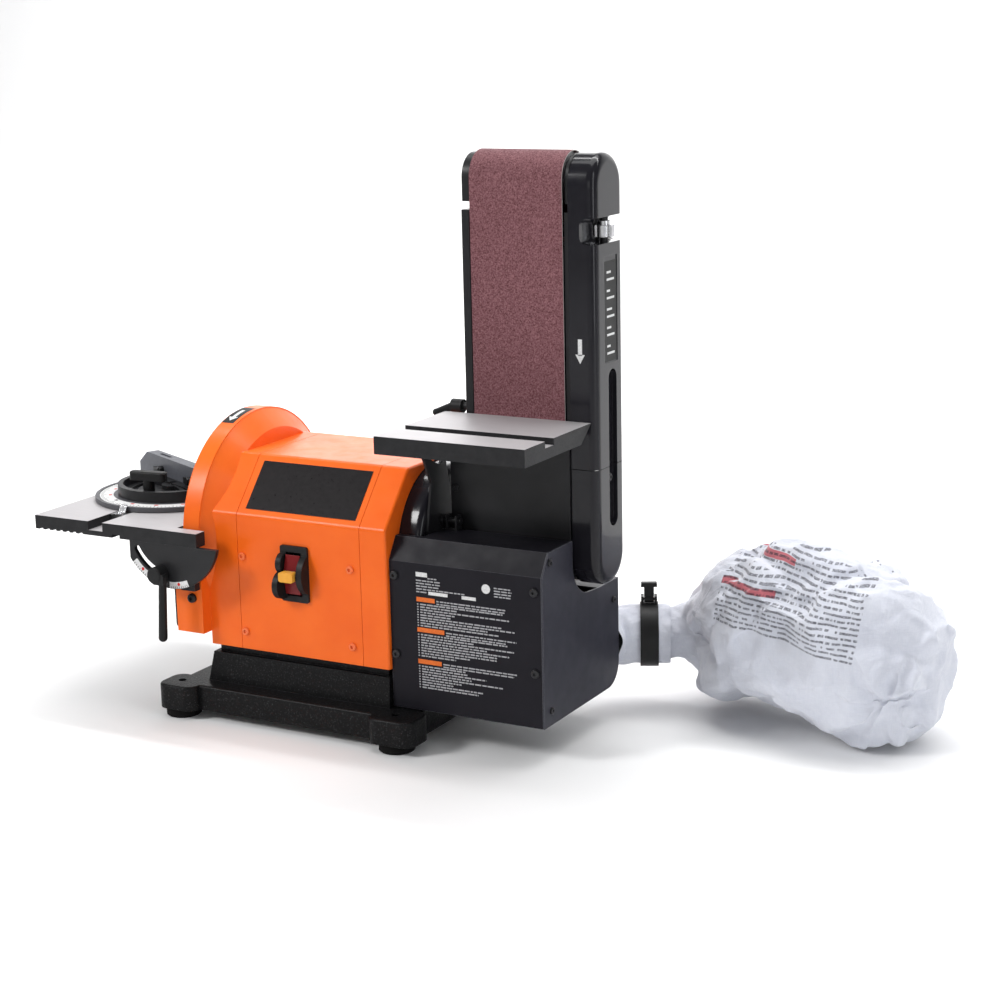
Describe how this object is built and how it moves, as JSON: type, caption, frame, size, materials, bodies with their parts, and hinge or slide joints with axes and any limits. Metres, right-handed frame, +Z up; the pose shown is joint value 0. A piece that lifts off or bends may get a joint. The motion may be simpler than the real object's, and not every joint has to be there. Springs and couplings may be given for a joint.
{
  "type": "belt disc sander",
  "caption": "Bench sander with an upright tilting belt and a side disc on one motor, two work tables, miter gauge, dust box with cloth bag.",
  "frame": {"origin": "centre of the base bolt pattern, on the floor under the rubber feet", "axes": "+X along the motor shaft from the disc to the belt, -Y is the working front, +Z is up"},
  "size_m": [0.9361, 0.3992, 0.5907],
  "materials": {
    "paint_base": "black hammertone paint",
    "rubber": "moulded rubber",
    "paint_orange": "satin orange paint",
    "panel_black": "blank printed label",
    "screw_steel": "zinc-plated fasteners",
    "paint_black": "satin black paint",
    "paint_box": "satin charcoal paint",
    "gloss_cover": "glossy black moulding",
    "table_metal": "machined top, cast sides",
    "steel": "ground steel",
    "bright_metal": "bright knurled metal",
    "motor_iron": "laminated motor iron",
    "cast_alloy": "cast alloy",
    "drum_rubber": "rubber-faced drum",
    "abrasive": "abrasive grit on cloth",
    "black_plastic": "moulded black plastic",
    "rocker_red": "dark red plastic",
    "key_yellow": "yellow-orange plastic",
    "gauge_scale": "grey plate with white ring",
    "gauge_cast": "black painted casting",
    "fence_metal": "grey painted fence",
    "bag_cloth": "white woven cotton"
  },
  "bodies": {
    "machine": {"base": "paint_base", "rubber_feet": "rubber", "cord_inlet": "rubber", "name_panel": "panel_black", "housing_screws": "screw_steel", "housing_left": "paint_orange", "housing_center": "paint_orange", "housing_right": "paint_orange", "end_bell": "paint_black", "drive_end_plate": "cast_alloy", "motor_bearings": "steel", "motor_stator": "motor_iron", "start_capacitor": "black_plastic", "switch_body": "black_plastic", "lower_disc_cover": "paint_black", "guard_bolts": "screw_steel", "disc_table_brackets": "paint_black", "dust_box": "paint_box", "dust_box_side": "paint_box", "dust_box_screws": "screw_steel", "arm_lock_bracket": "paint_black", "dust_port": "black_plastic", "bag_sleeve": "bag_cloth", "bag_clamp": "black_plastic", "dust_bag": "bag_cloth", "belt_table_bracket": "paint_black"},
    "rotor": {"rotor_shaft": "steel", "rotor_core": "motor_iron", "cooling_fan": "black_plastic", "disc_plate": "cast_alloy", "sanding_disc": "abrasive", "drive_drum": "drum_rubber"},
    "belt_arm": {"arm_frame": "paint_black", "platen": "steel", "sanding_belt": "abrasive", "side_cover_upper": "gloss_cover", "side_cover_lower": "gloss_cover", "arm_fasteners": "screw_steel", "guard_plate": "paint_black", "tension_spring": "steel"},
    "idler_carrier": {"idler_yoke": "paint_black", "idler_axle": "steel"},
    "idler": {"idler_roller": "cast_alloy"},
    "tensioner": {"tension_lever": "black_plastic"},
    "tracker": {"tracking_knob": "bright_metal"},
    "belt_table": {"belt_table_top": "table_metal", "belt_table_trunnion": "paint_black"},
    "belt_lock": {"belt_table_knob": "black_plastic"},
    "disc_table": {"disc_table_top": "table_metal", "disc_table_trunnions": "paint_black"},
    "disc_lock": {"disc_lock_lever": "black_plastic"},
    "gauge_bar": {"miter_bar": "steel"},
    "gauge_head": {"miter_head": "gauge_cast", "miter_scale": "gauge_scale", "miter_fence": "fence_metal", "fence_screws": "screw_steel"},
    "gauge_lock": {"miter_knob": "black_plastic"},
    "rocker": {"switch_rocker": "rocker_red"},
    "key": {"safety_key": "key_yellow"},
    "bag_toggle": {"bag_clamp_lever": "black_plastic"}
  },
  "joints": [
    {"name": "motor_spin", "type": "hinge", "parent": "machine", "child": "rotor", "pos_m": [0, 0, 0.19], "axis": [1, 0, 0], "continuous": true},
    {"name": "arm_tilt", "type": "hinge", "parent": "machine", "child": "belt_arm", "pos_m": [0, 0, 0.19], "axis": [-1, 0, 0], "range_deg": [0, 90]},
    {"name": "idler_slide", "type": "slide", "parent": "belt_arm", "child": "idler_carrier", "axis": [0, 0, -1], "range_m": [0, 0.006], "stiffness_N_per_m": 2000, "springref_m": -0.02, "deforming": ["tension_spring"]},
    {"name": "idler_spin", "type": "hinge", "parent": "idler_carrier", "child": "idler", "pos_m": [0, 0, 0.5637], "axis": [1, 0, 0], "continuous": true},
    {"name": "tension_turn", "type": "hinge", "parent": "belt_arm", "child": "tensioner", "pos_m": [0.17, -0.017, 0.335], "axis": [1, 0, 0], "range_deg": [0, 90]},
    {"name": "tracking_turn", "type": "hinge", "parent": "belt_arm", "child": "tracker", "pos_m": [0.304, 0.014, 0.51], "axis": [0, 0, 1], "range_deg": [-180, 180]},
    {"name": "belt_table_tilt", "type": "hinge", "parent": "machine", "child": "belt_table", "pos_m": [0.2275, -0.0295, 0.331], "axis": [1, 0, 0], "range_deg": [0, 45]},
    {"name": "belt_lock_turn", "type": "hinge", "parent": "belt_table", "child": "belt_lock", "pos_m": [0.14, -0.07365, 0.30753], "axis": [1, 0, 0], "range_deg": [-180, 180]},
    {"name": "disc_table_tilt", "type": "hinge", "parent": "machine", "child": "disc_table", "pos_m": [-0.127, 0, 0.204], "axis": [0, -1, 0], "range_deg": [0, 45]},
    {"name": "disc_lock_turn", "type": "hinge", "parent": "machine", "child": "disc_lock", "pos_m": [-0.1391, -0.145, 0.15755], "axis": [0, 1, 0], "range_deg": [-90, 90]},
    {"name": "gauge_slide", "type": "slide", "parent": "disc_table", "child": "gauge_bar", "axis": [0, 1, 0], "range_m": [-0.06, 0.07]},
    {"name": "gauge_turn", "type": "hinge", "parent": "gauge_bar", "child": "gauge_head", "pos_m": [-0.224, -0.002, 0.21], "axis": [0, 0, 1], "range_deg": [-32, 84]},
    {"name": "gauge_lock_turn", "type": "hinge", "parent": "gauge_bar", "child": "gauge_lock", "pos_m": [-0.224, -0.045, 0.22], "axis": [0, 0, 1], "range_deg": [-180, 180]},
    {"name": "switch_rock", "type": "hinge", "parent": "machine", "child": "rocker", "pos_m": [0.0085, -0.108, 0.1655], "axis": [1, 0, 0], "range_deg": [-6, 6]},
    {"name": "key_pull", "type": "slide", "parent": "rocker", "child": "key", "axis": [0, -1, 0], "range_m": [0, 0.02]},
    {"name": "clamp_turn", "type": "hinge", "parent": "machine", "child": "bag_toggle", "pos_m": [0.3031, 0.11399, 0.116], "axis": [0.9, 0.436, 0], "range_deg": [-70, 70]}
  ],
  "couplings": [
    {"joint": "idler_spin", "follows": "motor_spin", "ratio": 1},
    {"joint": "tension_turn", "follows": "idler_slide", "rad_per_m": 250}
  ]
}
